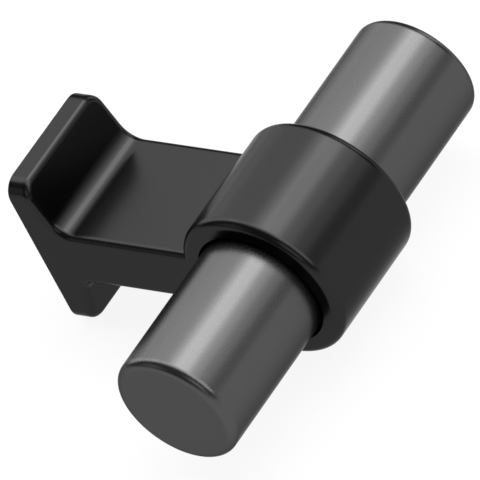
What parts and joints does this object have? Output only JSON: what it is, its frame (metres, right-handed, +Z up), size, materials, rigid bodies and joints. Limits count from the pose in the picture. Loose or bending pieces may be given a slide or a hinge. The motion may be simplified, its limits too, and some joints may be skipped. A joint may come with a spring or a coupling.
{
  "type": "t-bar cabinet knob",
  "caption": "T-bar cabinet knob: a round bar clamped in the collar of a cast post, whose flared rectangular foot screws to a drawer or door front.",
  "frame": {"origin": "mouth of the screw hole, in the middle of the foot's flat back", "axes": "+X along the bar, +Y out of the foot's back into the furniture, +Z up"},
  "size_m": [0.05, 0.0385, 0.02],
  "materials": {
    "bar_metal": "satin",
    "post_metal": "satin",
    "screw_steel": "satin"
  },
  "bodies": {
    "root": {"bar": "bar_metal", "post": "post_metal", "grub_screw": "screw_steel"}
  },
  "joints": []
}
